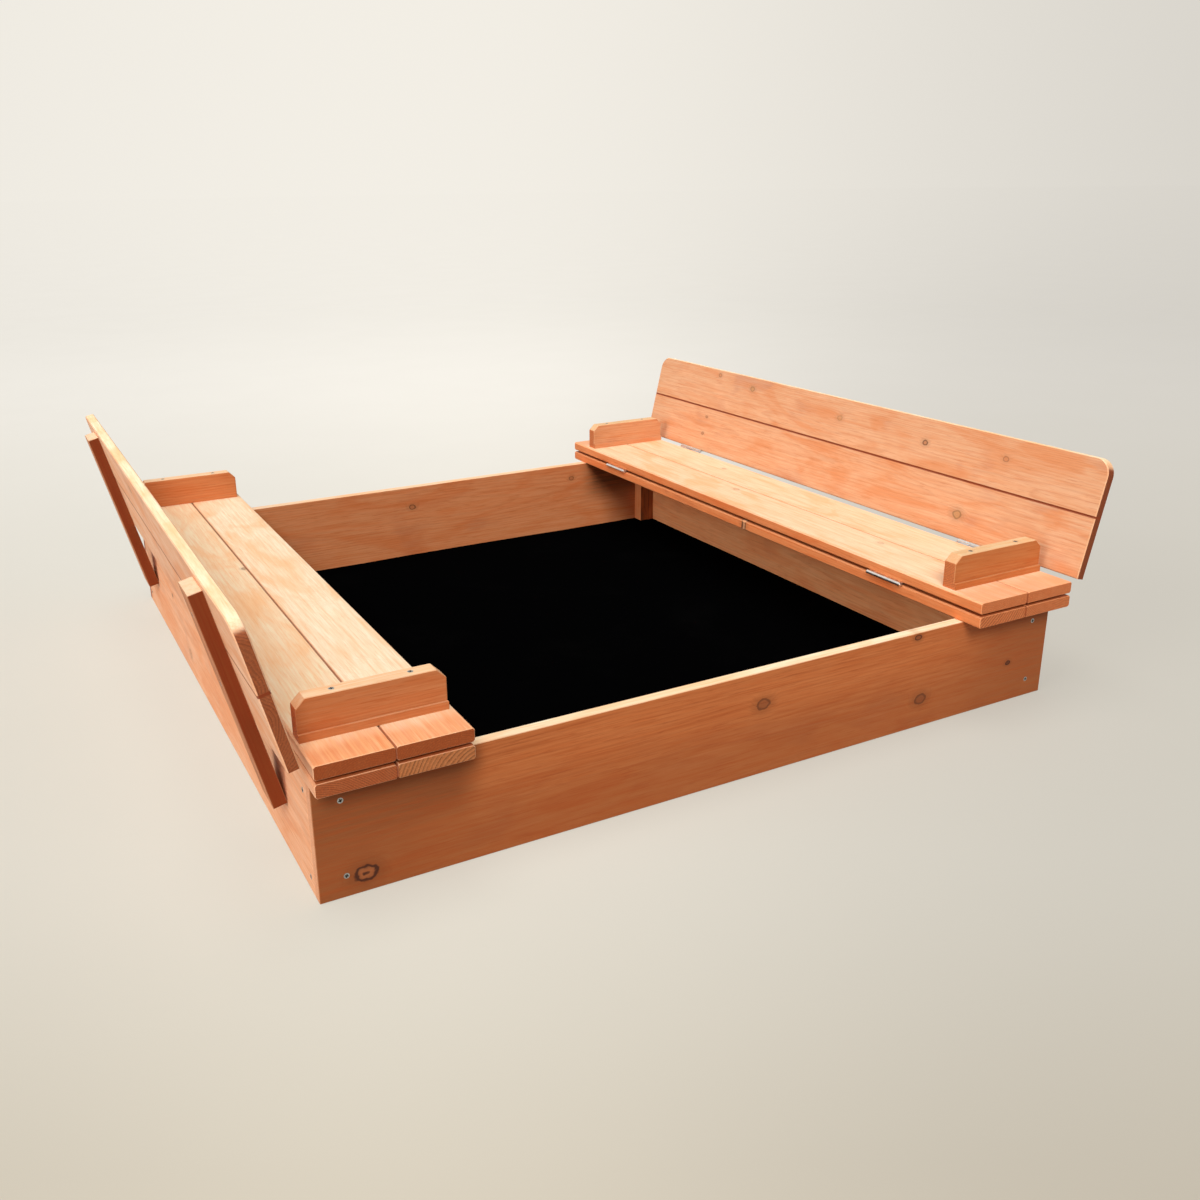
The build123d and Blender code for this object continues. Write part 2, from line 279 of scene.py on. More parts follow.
def growth_rings(shader, seeded, place, grain, fields):
    """The dark late wood of each year, around the pith, wandering and bulging round the knots."""
    slow = shader.minus(shader.noise(seeded, (1.6, 9.0, 9.0)), 0.5)
    quick = shader.minus(shader.noise(seeded, (14.0, 45.0, 45.0)), 0.5)
    pith = (0.0, grain.pith[0] * MM, grain.pith[1] * MM)
    from_pith = shader.vector("SUBTRACT", place, pith)
    across = shader.vector("MULTIPLY", from_pith, (0.0, 1.0, 1.0))
    radius = shader.add(
        shader.vector("LENGTH", across),
        shader.times(slow, 4.0 * grain.waves * MM),
        shader.times(quick, 0.45 * grain.waves * MM),
        *[field.lift for field in fields],
    )
    year = shader.math("DIVIDE", radius, grain.spacing * MM)
    turn = shader.math("FRACT", year)
    late = shader.times(shader.step(turn, 0.25, 0.88), shader.step(turn, 1.0, 0.9))
    harvest = shader.node("TexNoise", noise_dimensions="1D")
    shader.feed(harvest.inputs["W"], shader.times(year, 0.55))
    return shader.times(late, shader.step(harvest.outputs["Fac"], 0.3, 0.7, 0.3, 1.0))


class Board:
    """One board's shader, with the places, masks and noises that its paint is mixed from."""

    def __init__(self, name, node, along, across, grain, tint):
        self.shader = shader = Shader(name)
        self.grain = grain
        self.tint = tint
        self.axes = Matrix((along, across, along.cross(across))).transposed()
        low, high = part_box(node)
        coordinates = shader.node("TexCoord")
        self.normal = coordinates.outputs["Normal"]
        mapping = shader.node("Mapping", vector_type="TEXTURE")
        mapping.inputs["Location"].default_value = (low + high) / 2
        mapping.inputs["Rotation"].default_value = self.axes.to_euler()
        shader.feed(mapping.inputs["Vector"], coordinates.outputs["Object"])
        self.place = place = mapping.outputs["Vector"]
        self.a = shader.dot(place, AXIS_X)
        self.b = shader.dot(place, AXIS_Y)
        seed = (grain.seed * 3.7, grain.seed * 1.3, grain.seed * 0.7)
        self.seeded = seeded = shader.vector("ADD", place, seed)
        self.fields = [knot_field(shader, place, knot) for knot in grain.knots]
        self.late = growth_rings(shader, seeded, place, grain, self.fields)

        # Fibres at two widths, drawn out along the grain, and broad soft patches.
        self.coarse = shader.noise(seeded, (6.0, 300.0, 300.0), 3.0, 0.6)
        self.fine = shader.noise(seeded, (30.0, 1500.0, 1500.0), 2.0, 0.6)
        self.swirl = shader.noise(seeded, (4.0, 13.0, 13.0), 3.0, 0.5, 1.6)
        self.cloud = shader.noise(seeded, (8.0, 15.0, 15.0), 2.0, 0.5, 0.4)

        self.upward = self.facing_up()
        self.upright = shader.minus(1.0, self.upward)
        darker_face = scaled(warmer(tint.face), 0.95)
        self.warm = shader.mix(self.upward, darker_face, warmer(tint.top))

    def facing(self, direction):
        return self.shader.dot(self.normal, direction)

    def facing_up(self):
        """Where it faces up: bleached by sun and rain, and painted lighter as the lit top."""
        shader = self.shader
        upward = shader.step(self.facing(AXIS_Z), 0.35, 0.85)
        limit = self.tint.pale_top_above
        if limit is None:
            return upward
        above = shader.step(self.b, limit - 2 * MM, limit + 2 * MM)
        return shader.times(upward, shader.add(0.25, shader.times(above, 0.75)))


def weathered(board):
    """The face colour, paler where it faces up (sun-bleached, with painted light on top), with
    broad warm, dull and pale patches.
    """
    shader, tint, upward = board.shader, board.tint, board.upward
    face = tint.face
    if tint.outer:
        squarely = shader.absolute(board.facing(board.axes.col[2]))
        face = shader.mix(shader.step(squarely, 0.6, 0.9), face, tint.outer)
    colour = shader.mix(upward, face, tint.top)
    flame = shader.step(board.swirl, 0.47, 0.66)
    colour = shader.mix(shader.times(flame, tint.flame), colour, board.warm)
    dull = shader.step(board.cloud, 0.55, 0.72)
    smudge = shader.mix(upward, smudged(tint.face), board.warm)
    colour = shader.mix(shader.times(dull, 0.6 * tint.flame), colour, smudge)
    pale = shader.times(shader.step(board.swirl, 0.44, 0.28), 0.5 * tint.flame)
    brighter = shader.mix(upward, paler(tint.face), paler(tint.top))
    return shader.mix(pale, colour, brighter)


def faded_with_bench_shade(board, colour):
    """The upper half fades in the sun; under the benches its upper part gets painted shade
    instead.
    """
    shader, tint = board.shader, board.tint
    if tint.fade:
        fade = shader.step(board.b, -40 * MM, 50 * MM, 0.0, tint.fade)
        fade = shader.times(fade, board.upright)
        colour = shader.mix(fade, colour, scaled(tint.face, FADED))
    # painted shade under the benches, full above 30 mm over the board's middle and gone 30 mm
    # below it
    for start, stop, strength in tint.bench_shade:
        upper = shader.step(board.b, -30 * MM, 30 * MM)
        under = shader.step(board.a, start, stop, 0.0, strength)
        under = shader.times(shader.times(under, upper), board.upright)
        colour = shader.mix(under, colour, scaled(tint.face, BENCH_SHADE))
    return colour


def darker_ends(board, colour):
    """Darker and warmer towards the sawn ends."""
    shader, tint = board.shader, board.tint
    if not tint.end_darkening:
        return colour
    start, stop, strength = tint.end_darkening
    reach = shader.add(shader.absolute(board.a), shader.times(board.cloud, 0.05))
    deep = shader.mix(board.upward, scaled(tint.face, 0.70), end_darkened(tint.top))
    if tint.fade:
        strength = shader.times(strength, board.upright)
    return shader.mix(shader.step(reach, start, stop, 0.0, strength), colour, deep)


def grained(board, colour):
    """Coarse fibres, growth rings and pores, fainter on the pale tops."""
    shader, upward, warm = board.shader, board.upward, board.warm
    colour = shader.mix(shader.step(board.coarse, 0.42, 0.70, 0.0, 0.52), colour, warm)
    dark_ring = shader.mix(shader.step(upward, 0.0, 1.0, 0.55, 0.12), warm, GROOVE_STAIN)
    colour = shader.mix(shader.times(board.late, board.tint.ring), colour, dark_ring)
    pores = shader.noise(board.seeded, (22.0, 520.0, 520.0), 3.0, 0.65)
    pitted = shader.step(pores, 0.55, 0.68, 0.0, 0.50)
    pit = shader.mix(shader.step(upward, 0.0, 1.0, 0.35, 0.08), warm, GROOVE_STAIN)
    return shader.mix(pitted, colour, pit)


def with_end_grain(board, colour):
    """End grain drinks more stain; where it faces up it turns pale again, from bleaching and
    painted light.
    """
    shader, tint = board.shader, board.tint
    at_end = shader.step(shader.absolute(board.facing(board.axes.col[0])), 0.75, 0.95)
    rings = shader.times(board.late, tint.end_ring)
    end = shader.mix(rings, tint.end, scaled(tint.end, 0.35))
    specks = shader.noise(board.seeded, (300.0, 500.0, 500.0), 2.0, 0.7)
    end = shader.mix(shader.step(specks, 0.5, 0.72, 0.0, 0.5), end, scaled(tint.end, 1.6))
    end = shader.mix(shader.times(board.upward, 0.8), end, tint.top)
    return shader.mix(at_end, colour, end)


def with_knots(board, colour):
    """Paints each knot: a reddish halo, then its heart with fine rings, then its rim."""
    shader, face = board.shader, board.tint.face
    for field, knot in zip(board.fields, board.grain.knots):
        if knot.heart is HIDDEN:
            continue
        halo = shader.minus(field.near, field.inside, clamp=True)
        colour = shader.mix(shader.times(halo, 0.45 * knot.strength), colour, scaled(face, 0.5))
        core = shader.mix(shader.times(field.rings, 0.5), knot.heart, scaled(knot.heart, 0.45))
        colour = shader.mix(shader.times(field.inside, 0.75), colour, core)
        rim = scaled(knot.heart, 0.55) if knot.heart in SOFT_HEARTS else KNOT_RIM
        colour = shader.mix(shader.times(field.rim, 0.92), colour, rim)
    return colour


def with_edges(board, colour):
    """Stain gathers in the groove between two boards; other sharp edges are paler, partly from
    wear and partly as a painted highlight.
    """
    shader, tint = board.shader, board.tint
    groove = 0.0
    if board.grain.seam is not None:
        gap = shader.absolute(shader.minus(board.b, board.grain.seam * MM))
        half_width, stain = tint.groove
        groove = shader.step(gap, half_width * MM, 0.5 * half_width * MM, 0.0, stain)
    squareness = 0.0
    for axis in board.axes.col:
        part = shader.absolute(board.facing(axis))
        squareness = shader.math("MAXIMUM", squareness, part)
    # pale sharp edges: wear, and a painted highlight along them
    edge = shader.times(shader.step(squareness, 0.92, 0.78), shader.minus(1.0, groove))
    worn_and_lit = shader.mix(0.4, tint.face, WORN_AND_LIT_EDGE)
    colour = shader.mix(shader.times(edge, 0.4), colour, worn_and_lit)
    return shader.mix(groove, colour, GROOVE_STAIN)


def mottled(board, colour):
    """Deepens the colour along the fine fibres and in short streaks."""
    shader = board.shader
    streaks = shader.noise(board.seeded, (14.0, 120.0, 120.0), 3.0, 0.6)
    for field, light, dark in ((board.fine, 0.6, 0.35), (streaks, 0.62, 0.36)):
        share = shader.step(field, light, dark, 0.0, 0.6)
        colour = shader.mix(share, colour, DEEPENED, "MULTIPLY")
    return colour


def wood(node, along, across, grain, tint, name=None):
    """Paints a CAD board as stained softwood, sawn from one log, so that the rings on its faces
    run into its end grain."""
    board = Board(name or "wood_" + node, node, along, across, grain, tint)
    colour = weathered(board)
    for step in (faded_with_bench_shade, darker_ends, grained, with_end_grain, with_knots, with_edges, mottled):
        colour = step(board, colour)
    shader, coarse, late = board.shader, board.coarse, board.late
    rough = shader.add(0.58, shader.times(coarse, 0.16), shader.times(late, -0.08))
    shader.set(Base_Color=colour, Roughness=rough, Specular_IOR_Level=0.22)
    fine = shader.times(board.fine, 0.35)
    relief = shader.add(shader.times(coarse, 0.55), fine, shader.times(late, 0.3))
    shader.bump(relief, 0.35 * MM, 0.6)
    paint(node, shader.material)


def paint(node, material):
    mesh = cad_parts[node].data
    mesh.materials.clear()
    mesh.materials.append(material)


FACE = (0.43, 0.135, 0.040)  # the front wall's faces, kept dark as painted shade of the side turned from the light
INNER_FACE = (0.90, 0.355, 0.145)
SIDE_FACE = (0.87, 0.48, 0.285)
RIGHT_WALL_FACE = (0.98, 0.455, 0.205)
# Tops: sun-bleached, and paler still as painted light from above.
TOP = (0.955, 0.715, 0.485)
PALE_TOP = (0.99, 0.84, 0.605)
BASE_TOP = (0.44, 0.155, 0.053)  # of the base boards, which the seats cover: unbleached, and dark as painted shade in the gap under the seats
END = (0.31, 0.075, 0.022)
PALE_END = (0.74, 0.36, 0.20)
WARM_END = (0.60, 0.18, 0.06)

FRONT_KNOTS = (
    (-533, -53, 9, 1.0, BROWN_HEART),
    (38, 29, 7, 0.8, UMBER_HEART),
    (316, 70, 4, 0.9, DARK_HEART),
    (331, -32, 7, 0.85, UMBER_HEART),
    (511, -12, 3.2, 1.0, KNOT_RIM),
)
BACK_KNOTS = ((30, 33, 5, 0.7, BROWN_HEART), (-365, 46, 4, 0.6, BROWN_HEART))
LEFT_KNOTS = ((-284, 23, 3, 0.7, DARK_HEART), (-154, -40, 7, 0.3, BROWN_HEART))


def paint_walls():
    """Front and back walls run along X, the side walls along Y."""
    ends = (0.33, 0.64, 0.75)
    # painted shade under the benches: on the front wall under both, on the back wall under the
    # right one
    shade_under_both_benches = ((-0.37, -0.42, 0.68), (0.41, 0.50, 0.30))
    shade_under_right_bench = ((-0.385, -0.435, 0.93),)
    front = Tint(FACE, PALE_TOP, PALE_END, ring=0.22, end_ring=0.3, end_darkening=ends, fade=0.8,
                 bench_shade=shade_under_both_benches)
    back = Tint(scaled(INNER_FACE, 0.79), TOP, END, ring=0.22, flame=0.6, bench_shade=shade_under_right_bench)
    left = Tint(SIDE_FACE, TOP, END, ring=0.22, flame=0.6)
    right = Tint(RIGHT_WALL_FACE, TOP, END, ring=0.22, flame=0.5)
    boards = {
        "front_wall": (AXIS_X, Grain((-40, -90), 3.6, 6.0, FRONT_KNOTS, seed=1.0), front),
        "back_wall": (-AXIS_X, Grain((20, -70), 3.6, 6.0, BACK_KNOTS, seed=2.0), back),
        "left_wall": (-AXIS_Y, Grain((10, -60), 3.8, 6.0, LEFT_KNOTS, seed=3.0), left),
        "right_wall": (AXIS_Y, Grain((-20, -60), 3.8, 6.0, seed=4.0), right),
    }
    for node, (along, grain, tint) in boards.items():
        wood(node, along, AXIS_Z, grain, tint)


def paint_posts():
    """Darker on the faces towards the front and the back: painted shade."""
    tint = Tint(INNER_FACE, TOP, END, ring=0.35, flame=0.4, outer=scaled(INNER_FACE, 0.26))
    for number, corner in enumerate(("front_left", "front_right", "back_left", "back_right")):
        grain = Grain((30, -40), 3.2, 4.0, seed=5.0 + number)
        wood("corner_post_" + corner, AXIS_Z, AXIS_X, grain, tint, "wood_post_" + corner)


# Knots of the bench boards; a runs towards the back wall, b away from the pit or up the backrest.
BENCH_KNOTS = {
    "right_backrest_board_upper": [
        (259, 20, 4.5, 0.7, OLIVE_HEART),
        (382, 32, 3.5, 0.45, BROWN_HEART),
        (-26, 6, 4.5, 0.45, OLIVE_HEART),
        (-254, 1, 4, 0.8, BROWN_HEART),
        (-433, 8, 4, 0.4, BROWN_HEART),
    ],
    "right_backrest_board_lower": [
        (399, 28, 2.5, 0.5, DARK_HEART),
        (401, -10, 3, 0.5, DARK_HEART),
        (-365, -10, 6.2, 0.85, OLIVE_HEART),
    ],
    "right_seat_board_outer": [(231, 9, 3.5, 0.35, BROWN_HEART)],
    "right_seat_board_inner": [(80, 26, 5, 0.3, BROWN_HEART), (-330, 28, 4, 0.25, BROWN_HEART)],
    "left_seat_board_outer": [(82, -43, 3.5, 0.6, DARK_HEART)],
    "left_seat_board_inner": [
        (205, 22, 9, 0.0, HIDDEN),
        (-102, -18, 11, 0.0, HIDDEN),
        (-415, 10, 12, 0.0, HIDDEN),
    ],
    "left_backrest_board_upper": [(120, 10, 5, 0.5, BROWN_HEART)],
    "left_backrest_board_lower": [(-210, -8, 6, 0.5, BROWN_HEART)],
    "right_base_board_inner": [(-46, -44, 5, 0.9, PALE_HEART)],
}

# How the boards of a panel were sawn: pith, ring spacing, end colour on the left bench and
# strength of the rings in it.  The right bench's ends all have one colour.
PANEL_BOARDS = {
    "base_board_inner": ((-95, -70), 4.6, (0.50, 0.180, 0.062), 1.0),
    "base_board_outer": ((60, -90), 2.6, (0.42, 0.110, 0.034), 0.8),
    "seat_board_inner": ((-20, -45), 2.8, (0.345, 0.079, 0.019), 0.35),
    "seat_board_outer": ((-20, -45), 2.8, (0.345, 0.079, 0.019), 0.35),
}
PANEL_FACES = {"left": SIDE_FACE, "right": (0.89, 0.305, 0.108)}
SEAT_END_DARKENING = {"left": 0.87, "right": 0.6}
BASE_END_DARKENING = 0.4
# Seat tops, pale from bleaching and painted light; the left ones paler still, as painted light
# where the left backrest shades them.
SEAT_TOPS = {
    "left_seat_board_inner": (0.995, 0.86, 0.635),
    "left_seat_board_outer": (0.995, 0.815, 0.565),
    "right_seat_board_inner": (0.945, 0.69, 0.47),
    "right_seat_board_outer": (0.945, 0.69, 0.47),
}
PANEL_SEAM = 47.5  # mm from the middle of each board of a panel to the other board


def paint_panels(side, sign, number):
    """Base and seat boards, from the pit outwards."""
    for board, (pith, spacing, left_end, end_ring) in PANEL_BOARDS.items():
        node = "%s_%s" % (side, board)
        number += 1.0
        top = SEAT_TOPS.get(node, BASE_TOP)
        end_darkening = SEAT_END_DARKENING[side] if node in SEAT_TOPS else BASE_END_DARKENING
        seam = PANEL_SEAM if board.endswith("inner") else -PANEL_SEAM
        end = left_end if side == "left" else WARM_END
        tint = Tint(PANEL_FACES[side], top, end, ring=0.2, flame=0.7, end_ring=end_ring,
                    end_darkening=(0.575, 0.62, end_darkening))
        grain = Grain(pith, spacing, 5.0, BENCH_KNOTS.get(node, ()), seam, number)
        wood(node, AXIS_Y, AXIS_X * sign, grain, tint)


# Kept dark as painted shade of faces turned from the light; the tops stay pale.
ARMREST_FACES = {
    "left_armrest_front": (0.577, 0.218, 0.081),
    "left_armrest_back": (0.67, 0.245, 0.091),
    "right_armrest_front": (0.55, 0.200, 0.063),
    "right_armrest_back": (0.69, 0.350, 0.180),
}
ARMREST_TOPS = {"left": (0.97, 0.72, 0.47), "right": (0.76, 0.54, 0.31)}


def paint_armrests(side, number):
    """Pale on top, from bleaching and painted light, but not on the low ledge along one face."""
    for end in ("front", "back"):
        node = "%s_armrest_%s" % (side, end)
        number += 1.0
        tint = Tint(ARMREST_FACES[node], ARMREST_TOPS[side], WARM_END, ring=0.25, flame=0.4,
                    pale_top_above=0.0)
        wood(node, AXIS_X, AXIS_Z, Grain((40, -30), 3.4, 4.0, seed=number), tint)


# Face and end colours of the backrests.
BACKREST_LOOKS = {
    "left": ((0.90, 0.555, 0.36), (0.33, 0.090, 0.030)),
    "right": ((0.735, 0.405, 0.231), (0.24, 0.055, 0.016)),
}
# The seam and the pith of each board of a backrest, in millimetres.
BACKREST_BOARDS = {"lower": (48.5, (12, -38)), "upper": (-44.5, (-30, -42))}
# The battens' narrow sides are kept dark as painted shade; their widest faces take BATTEN_FACE.
BATTEN_SIDE = (0.21, 0.042, 0.008)
BATTEN_FACE = (0.70, 0.30, 0.130)


def paint_backrest(side, sign, number):
    """Two leaning boards and the two battens behind them."""
    leaning_up = Vector((math.sin(LEAN) * sign, 0, math.cos(LEAN)))
    face, end = BACKREST_LOOKS[side]
    tint = Tint(face, PALE_TOP, end, ring=0.22, flame=0.8, end_ring=0.6, groove=(2.6, 0.95))
    for row, (seam, pith) in BACKREST_BOARDS.items():
        node = "%s_backrest_board_%s" % (side, row)
        number += 1.0
        grain = Grain(pith, 3.4, 9.0, BENCH_KNOTS[node], seam, number)
        wood(node, AXIS_Y, leaning_up, grain, tint)
    tint = Tint(BATTEN_SIDE, TOP, END, ring=0.25, flame=0.3, outer=BATTEN_FACE)
    for end in ("front", "back"):
        number += 1.0
        grain = Grain((25, -35), 3.6, 4.0, seed=number)
        wood("%s_batten_%s" % (side, end), leaning_up, AXIS_Y, grain, tint)


def paint_bench(side, sign, number):
    """sign: +1 for the right bench, -1 for the left one; number sets its boards' own grain."""
    paint_panels(side, sign, number)
    paint_armrests(side, number + 5.0)
    paint_backrest(side, sign, number + 8.0)


# ---- metal ----
HINGE_LEAF_ZINC = (0.86, 0.87, 0.88)
HINGE_PIN_ZINC = (0.72, 0.72, 0.73)
HINGE_SCREW_ZINC = (0.78, 0.78, 0.79)
SCREW_ZINC = (0.42, 0.425, 0.41)
DULL_ZINC = (0.46, 0.45, 0.43)


def zinc(name, base, roughness):
    """Zinc plating: bright metal with faint clouding, fine scratches and dull spots."""
    shader = Shader(name)
    place = shader.node("TexCoord").outputs["Object"]
    clouds = shader.noise(place, (90.0, 90.0, 90.0), 3.0, 0.6)
    spots = shader.step(shader.noise(place, (420.0, 420.0, 420.0)), 0.62, 0.75)
    scratches = shader.noise(place, (2600.0, 160.0, 2600.0), 2.0, 0.6)
    colour = shader.mix(shader.step(clouds, 0.35, 0.7), base, scaled(base, 0.82))
    colour = shader.mix(shader.times(spots, 0.35), colour, DULL_ZINC)
    rough = shader.add(roughness, shader.times(clouds, 0.14), shader.times(spots, 0.15))
    shader.set(Base_Color=colour, Roughness=rough, Metallic=1.0)
    shader.bump(shader.add(scratches, shader.times(spots, -0.6)), 0.05 * MM, 0.5)
    return shader.material


def dark_recess_fill(name):
    """A near-black fill in the recess of a screw, with small lumps."""
    shader = Shader(name)
    place = shader.node("TexCoord").outputs["Object"]
    crumbs = shader.noise(place, (1800.0, 1800.0, 1800.0), 3.0, 0.6)
    lumps = shader.step(crumbs, 0.35, 0.7)
    colour = shader.mix(lumps, (0.012, 0.010, 0.009), (0.06, 0.045, 0.035))
    shader.set(Base_Color=colour, Roughness=shader.add(0.6, shader.times(crumbs, 0.3)))
    shader.bump(crumbs, 0.1 * MM, 0.6)
    return shader.material


def paint_hinges():
    leaf_metal = zinc("zinc_hinge_leaves", HINGE_LEAF_ZINC, 0.22)
    pin_metal = zinc("zinc_hinge_pins", HINGE_PIN_ZINC, 0.28)
    for side in ("left", "right"):
        for leaves in ("seat_hinge_base", "seat_hinge_seat", "back_hinge_seat", "back_hinge_back"):
            paint("%s_%s_leaves" % (side, leaves), leaf_metal)
        for hinge in ("seat_hinge", "back_hinge"):
            paint("%s_%s_pins" % (side, hinge), pin_metal)


# ---- screws ----
HEAD_TURNS = 48  # points around a screw head
HEAD_RINGS = (0.10, 0.18, 0.26, 0.34, 0.42, 0.50, 0.58, 0.68, 0.80, 0.90, 0.97, 1.0)
HEAD_UNDERSIDE = ((0.97, 0.12), (0.45, 0.6))  # radius and drop, down to the shank
RECESS_ARM = 0.17  # half width of the cross; this and the above are shares of the radius
SCREW_HEAD = {"radius": 3.6 * MM, "recess": 0.66, "depth": 1.6 * MM}
HINGE_SCREW_HEAD = {"radius": 2.6 * MM, "recess": 0.56, "depth": 0.7 * MM}
SCREW_PROUD = 0.25 * MM  # how far a crown stands out of the wood or the leaf
HINGE_SCREW_PROUD = 0.2 * MM
SPIN = math.radians(37.0)  # from one screw's cross to the next one's


def circle(radius):
    angles = [2 * math.pi * turn / HEAD_TURNS for turn in range(HEAD_TURNS)]
    return [(radius * math.cos(angle), radius * math.sin(angle)) for angle in angles]


def screw_head_mesh(name, radius, recess, depth, proud):
    """A cross-recessed head facing +Z, with its rim on z = 0 and its crown proud of that.

    recess: how far the cross reaches, as a share of the radius.
    """
    shape = bmesh.new()
    hub = shape.verts.new((0, 0, proud - depth))
    rows = []
    for share in HEAD_RINGS:
        crown = proud * (1 - share ** 4)
        row = []
        for x, y in circle(share):
            sunk = min(abs(x), abs(y)) < RECESS_ARM and share < recess
            z = crown - (depth if sunk else 0)
            row.append(shape.verts.new((x * radius, y * radius, z)))
        rows.append(row)
    for share, drop in HEAD_UNDERSIDE:
        z = -drop * radius
        rows.append([shape.verts.new((x * radius, y * radius, z)) for x, y in circle(share)])
    for turn in range(HEAD_TURNS):
        following = (turn + 1) % HEAD_TURNS
        shape.faces.new((hub, rows[0][turn], rows[0][following]))
        for inner, outer in zip(rows, rows[1:]):
            shape.faces.new((inner[turn], outer[turn], outer[following], inner[following]))
    shape.faces.new(list(reversed(rows[-1])))
    bmesh.ops.recalc_face_normals(shape, faces=shape.faces)
    for face in shape.faces:  # the recess gets the second material, with its sloping sides
        middle = face.calc_center_median()
        across = math.hypot(middle.x, middle.y) / radius
        on_arm = min(abs(middle.x), abs(middle.y)) < 1.3 * RECESS_ARM * radius
        in_recess = on_arm and across < recess * 1.08 and middle.z > -depth * 1.5
        face.material_index = 1 if in_recess else 0
    return to_mesh(name, shape, ())


def solids_of(node):
    """The corner points of each separate solid in a CAD node."""
    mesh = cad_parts[node].data
    leader = {}  # leads from each corner point to another of its solid, or to itself

    def root(key):
        while leader.setdefault(key, key) != key:
            key = leader[key]
        return key

    def key_of(index):
        return tuple(round(c, 6) for c in mesh.vertices[index].co)

    for face in mesh.polygons:
        keys = [key_of(index) for index in face.vertices]
        for key in keys[1:]:
            leader[root(key)] = root(keys[0])
    solids = {}
    for key in list(leader):
        solids.setdefault(root(key), []).append(key)
    return [np.array(points) for _, points in sorted(solids.items())]


def head_place(points):
    """Where the wide end of a screw is, and which way it faces."""
    slack = 0.1 * MM
    middle = points.mean(0)
    axis = np.linalg.svd(points - middle)[2][0]
    along = (points - middle) @ axis
    reach = np.linalg.norm(points - middle - np.outer(along, axis), axis=1)
    high_end = along > along.max() - slack
    low_end = along < along.min() + slack
    if reach[high_end].mean() < reach[low_end].mean():
        return Vector(points[low_end].mean(0)), Vector(-axis)
    return Vector(points[high_end].mean(0)), Vector(axis)


def joined(name, mesh, places, materials):
    """One object made of a mesh repeated at each (point, direction), each turned differently."""
    whole = bmesh.new()
    for number, (point, direction) in enumerate(places):
        turn = direction.to_track_quat("Z", "Y").to_matrix().to_4x4()
        spin = Matrix.Rotation(SPIN * number, 4, "Z")
        copy = mesh.copy()
        copy.transform(Matrix.Translation(point) @ turn @ spin)
        whole.from_mesh(copy)
        bpy.data.meshes.remove(copy)
    return linked_object(name, to_mesh(name, whole, materials))


SCREW_NODES = {
    "wall_screws": "box",
    "left_base_screws": "box",
    "right_base_screws": "box",
    "left_armrest_screws": "left_seat",
    "right_armrest_screws": "right_seat",
    "left_batten_screws": "left_backrest",
    "right_batten_screws": "right_backrest",
}


def make_screws():
    """A cross-recessed head at each CAD screw; only those of the bases are sunk flush."""
    metals = (zinc("zinc_screws", SCREW_ZINC, 0.32), dark_recess_fill("screw_recess"))
    for node, body in SCREW_NODES.items():
        proud = 0.0 if "base" in node else SCREW_PROUD
        head = screw_head_mesh("cross_head", proud=proud, **SCREW_HEAD)
        places = [head_place(points) for points in solids_of(node)]
        piece = joined(node + "_heads", head, places, metals)
        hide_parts(node)
        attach(piece, body)


HINGE_PLATE = 1.4 * MM  # thickness of a leaf
HINGE_Y = 425.0 * MM  # of the middle of each hinge
HINGE_SCREW_SPREAD = 25.0 * MM  # from there to its screws
SCREWS_FROM_LEAF_END = 10.0 * MM
SCREWS_UP_EDGE = 8.5 * MM  # above the seat's underside, and from the backrest's foot
BACKREST_FOOT = (604.0 * MM, 196.8 * MM)  # x and z of its low edge by the seat, before rounding


def outermost(bounds, sign):
    """The x of a box's side that is farther from the middle of the sandbox."""
    low, high = bounds
    return sign * max(abs(low.x), abs(high.x))


def make_hinge_screws():
    """Two small screws in each leaf of the four hinge lines."""
    metals = (zinc("zinc_hinge_screws", HINGE_SCREW_ZINC, 0.25), dark_recess_fill("hinge_screw_recess"))
    head = screw_head_mesh("small_cross_head", proud=HINGE_SCREW_PROUD, **HINGE_SCREW_HEAD)
    rows = []
    for middle in (-HINGE_Y, HINGE_Y):
        rows += [middle - HINGE_SCREW_SPREAD, middle + HINGE_SCREW_SPREAD]
    for side, sign in (("left", -1), ("right", 1)):
        up = Vector((math.sin(LEAN) * sign, 0, math.cos(LEAN)))
        out = Vector((math.cos(LEAN) * sign, 0, -math.sin(LEAN)))
        base_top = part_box(side + "_base_board_inner")[1].z
        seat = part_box(side + "_seat_board_outer")
        seat_bottom = seat[0].z
        leaf_x = outermost(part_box(side + "_seat_hinge_base_leaves"), sign)
        leaf_x -= sign * SCREWS_FROM_LEAF_END
        edge_x = outermost(seat, sign) + sign * HINGE_PLATE
        edge_z = seat_bottom + SCREWS_UP_EDGE
        foot = Vector((sign * BACKREST_FOOT[0], 0, BACKREST_FOOT[1]))
        foot += out * SCREWS_UP_EDGE - up * HINGE_PLATE
        rows_of = {
            "seat_hinge_base": ("box", leaf_x, base_top + HINGE_PLATE, AXIS_Z),
            "seat_hinge_seat": (side + "_seat", leaf_x, seat_bottom - HINGE_PLATE, -AXIS_Z),
            "back_hinge_seat": (side + "_seat", edge_x, edge_z, AXIS_X * sign),
            "back_hinge_back": (side + "_backrest", foot.x, foot.z, -up),
        }
        for name, (body, x, z, facing) in rows_of.items():
            places = [(Vector((x, y, z)), facing) for y in rows]
            piece = joined("%s_%s_screws" % (side, name), head, places, metals)
            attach(piece, body)


# ---- the ground sheet ----
FELT = ((0.0006, 0.0006, 0.0007), (0.0016, 0.0016, 0.0016))
FELT_DUST = (0.008, 0.0075, 0.007)
LINER_CELLS = 118  # of the sheet's grid, each way between the notches
NOTCH_CLEARANCE = 0.3 * MM


